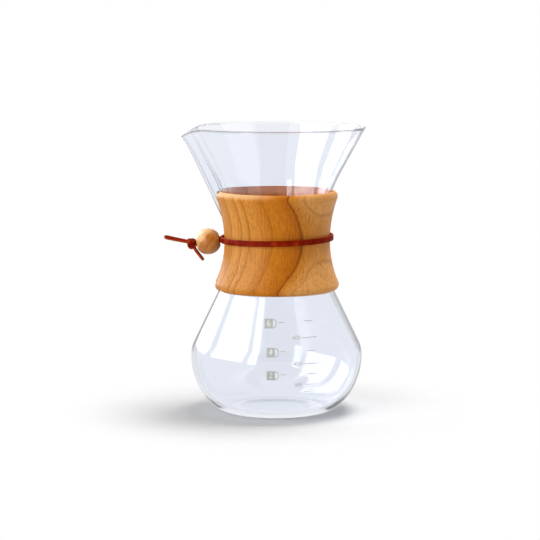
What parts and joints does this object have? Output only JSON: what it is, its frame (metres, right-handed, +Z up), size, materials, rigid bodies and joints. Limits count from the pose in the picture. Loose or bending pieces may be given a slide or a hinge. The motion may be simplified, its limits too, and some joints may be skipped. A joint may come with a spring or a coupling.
{
  "type": "pour-over coffee maker",
  "caption": "Hourglass pour-over carafe in clear glass with a pouring channel, a split wooden collar on its neck, and a knotted leather thong with a wooden bead that ties the collar.",
  "frame": {"origin": "on the glass's axis, level with the standing ring under the base", "axes": "+Z up along the glass's axis; the pouring channel and the bead are on the -X side; -Y is the front, with the printed scale"},
  "size_m": [0.1545, 0.1366, 0.219],
  "materials": {
    "glass": "clear, polished",
    "collar_wood": "oiled, grain showing",
    "bead_wood": "varnished",
    "leather": "smooth, cut edges"
  },
  "bodies": {
    "carafe": {"glass_carafe": "glass", "collar_front": "collar_wood", "collar_back": "collar_wood"},
    "tie": {"tie_loop": "leather", "tie_knot": "leather", "tie_long_tail": "leather", "tie_short_tail": "leather"},
    "bead": {"bead": "bead_wood"}
  },
  "joints": [
    {"name": "tie_turn", "type": "hinge", "parent": "carafe", "child": "tie", "pos_m": [0, 0, 0.1334], "axis": [-0.0209, 0, 0.9998], "continuous": true},
    {"name": "bead_spin", "type": "hinge", "parent": "tie", "child": "bead", "pos_m": [-0.05228, 0, 0.13073], "axis": [-0.9842, 0, -0.1771], "continuous": true}
  ]
}
